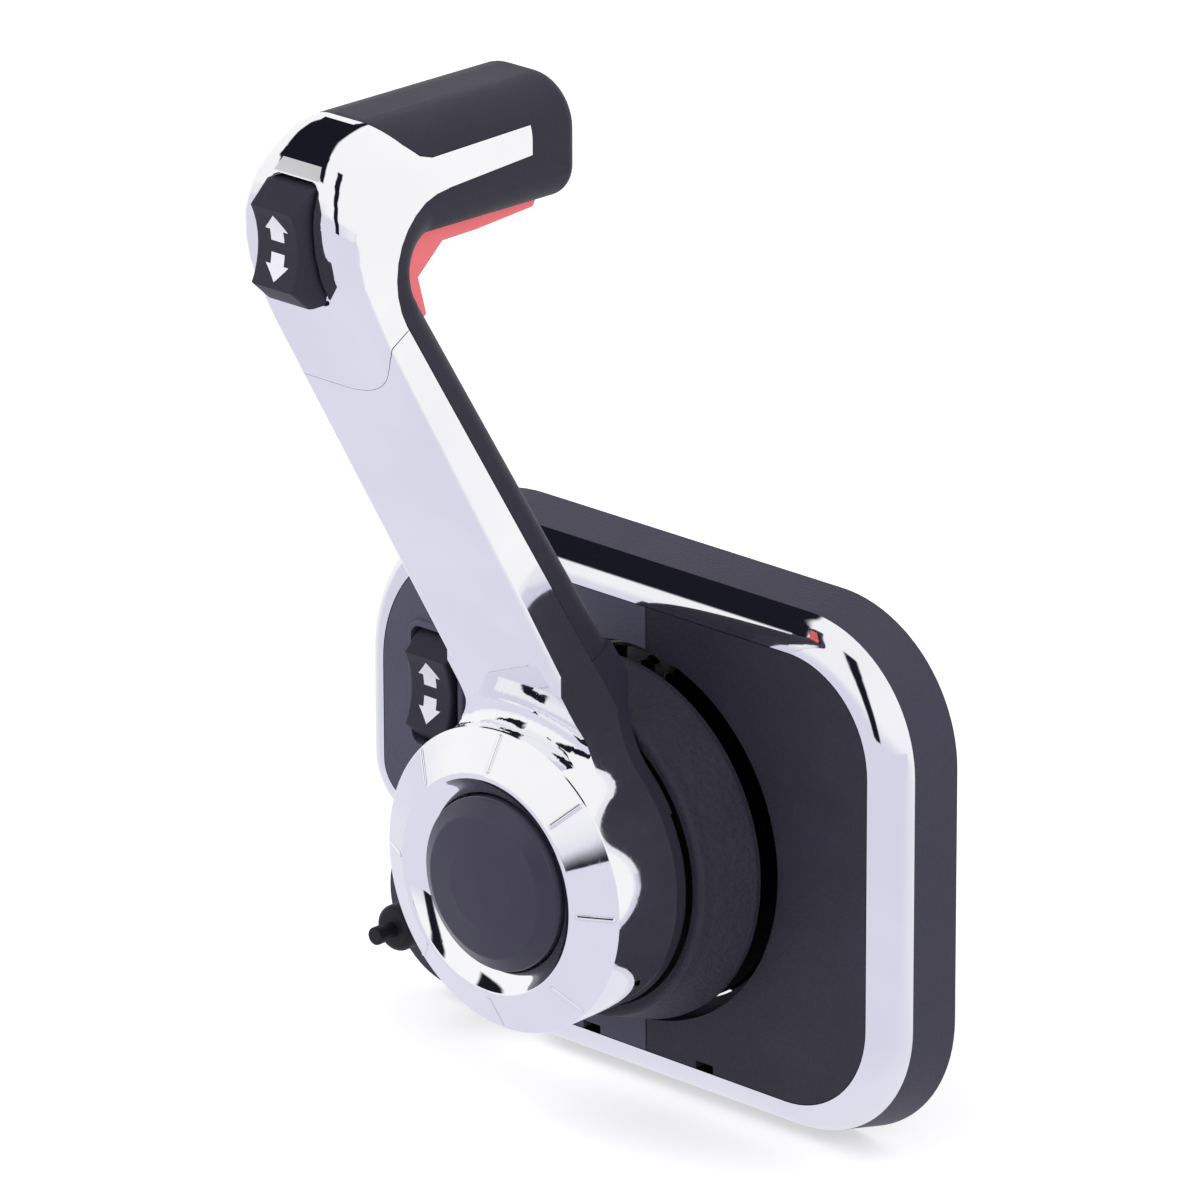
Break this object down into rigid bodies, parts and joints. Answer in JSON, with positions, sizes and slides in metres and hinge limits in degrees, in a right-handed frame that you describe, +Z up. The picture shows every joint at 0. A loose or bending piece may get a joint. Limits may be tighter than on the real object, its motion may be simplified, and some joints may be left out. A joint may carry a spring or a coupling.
{
  "type": "boat throttle control lever",
  "caption": "Side panel throttle and shift control: cranked chrome lever with black grip, red neutral release and centre button on a flared base with trim and stop switches.",
  "frame": {"origin": "where the lever's pivot axis meets the mounting plane at the back of the base", "axes": "+Y into the panel along the pivot axis, +Z up along the upright lever, +X to the right seen from the front"},
  "size_m": [0.1912, 0.1995, 0.2839],
  "materials": {
    "base_plastic": "fine grained",
    "trim_chrome": "polished",
    "face_plastic": "pebble grain",
    "collar_plastic": "rough",
    "cast_metal": "as cast",
    "lever_chrome": "polished",
    "grip_rubber": "soft satin",
    "button_plastic": "satin",
    "rocker_plastic": "satin",
    "release_red": "matte",
    "switch_plastic": "satin",
    "steel": "machined",
    "bush_brass": "machined"
  },
  "bodies": {
    "panel_unit": {"base_frame": "base_plastic", "trim_ring": "trim_chrome", "face_cover": "face_plastic", "hub_collar": "collar_plastic", "main_housing": "cast_metal", "rear_cover": "cast_metal", "front_bushing": "bush_brass", "rear_bushing": "bush_brass", "detent_plunger": "steel", "friction_screw": "switch_plastic", "neutral_switch": "switch_plastic", "cable_bracket": "steel", "housing_screws": "steel", "cover_screws": "steel", "collar_screws": "steel", "panel_switch": "switch_plastic", "panel_rocker_pin": "steel", "lanyard_switch": "rocker_plastic", "lanyard_nut": "switch_plastic", "lanyard_spring": "steel"},
    "lever": {"lever_arm": "lever_chrome", "hub_rear_ring": "grip_rubber", "hub_ring": "lever_chrome", "elbow_cap": "lever_chrome", "rear_shell": "grip_rubber", "handle_switch": "switch_plastic", "handle_rocker_pin": "steel", "main_shaft": "steel", "lever_screw": "steel", "lever_washer": "steel", "drive_pinion": "steel", "shaft_clip": "steel", "button_spring": "steel", "release_spring": "steel"},
    "shift_output": {"shift_gear": "steel", "shift_shaft": "steel", "shift_arm": "steel", "shift_nut": "steel"},
    "throttle_output": {"throttle_gear": "steel", "throttle_shaft": "steel", "throttle_arm": "steel", "throttle_nut": "steel"},
    "neutral_release": {"release_bar": "release_red", "release_rod": "steel"},
    "handle_trim": {"handle_rocker": "rocker_plastic"},
    "panel_trim": {"panel_rocker": "rocker_plastic"},
    "throttle_button": {"throttle_button": "button_plastic"},
    "stop_pin": {"lanyard_plunger": "rocker_plastic"}
  },
  "joints": [
    {"name": "lever_pivot", "type": "hinge", "parent": "panel_unit", "child": "lever", "pos_m": [0, 0, 0], "axis": [0, -1, 0], "range_deg": [-70, 85]},
    {"name": "shift_turn", "type": "hinge", "parent": "panel_unit", "child": "shift_output", "pos_m": [-0.0296, 0, -0.01077], "axis": [0, -1, 0], "range_deg": [-42.5, 35]},
    {"name": "throttle_turn", "type": "hinge", "parent": "panel_unit", "child": "throttle_output", "pos_m": [0.0296, 0, -0.01077], "axis": [0, -1, 0], "range_deg": [-42.5, 35]},
    {"name": "neutral_release_slide", "type": "slide", "parent": "lever", "child": "neutral_release", "axis": [0, -0.5, 0.866], "range_m": [0, 0.004], "stiffness_N_per_m": 500, "springref_m": -0.002},
    {"name": "handle_trim_rock", "type": "hinge", "parent": "lever", "child": "handle_trim", "pos_m": [0, -0.137, 0.1858], "axis": [1, 0, 0], "range_deg": [-7, 7], "stiffness_Nm_per_rad": 0.6},
    {"name": "panel_trim_rock", "type": "hinge", "parent": "panel_unit", "child": "panel_trim", "pos_m": [-0.068, -0.0166, 0.0205], "axis": [1, 0, 0], "range_deg": [-7, 7], "stiffness_Nm_per_rad": 0.6},
    {"name": "throttle_button_slide", "type": "slide", "parent": "lever", "child": "throttle_button", "axis": [0, 1, 0], "range_m": [0, 0.0045], "stiffness_N_per_m": 900, "springref_m": -0.003, "deforming": ["button_spring"]},
    {"name": "stop_pin_slide", "type": "slide", "parent": "panel_unit", "child": "stop_pin", "axis": [0, 1, 0], "range_m": [0, 0.004], "stiffness_N_per_m": 500, "springref_m": -0.003, "deforming": ["lanyard_spring"]}
  ],
  "couplings": [
    {"joint": "shift_turn", "follows": "lever_pivot", "ratio": -0.5},
    {"joint": "throttle_turn", "follows": "lever_pivot", "ratio": -0.5}
  ]
}
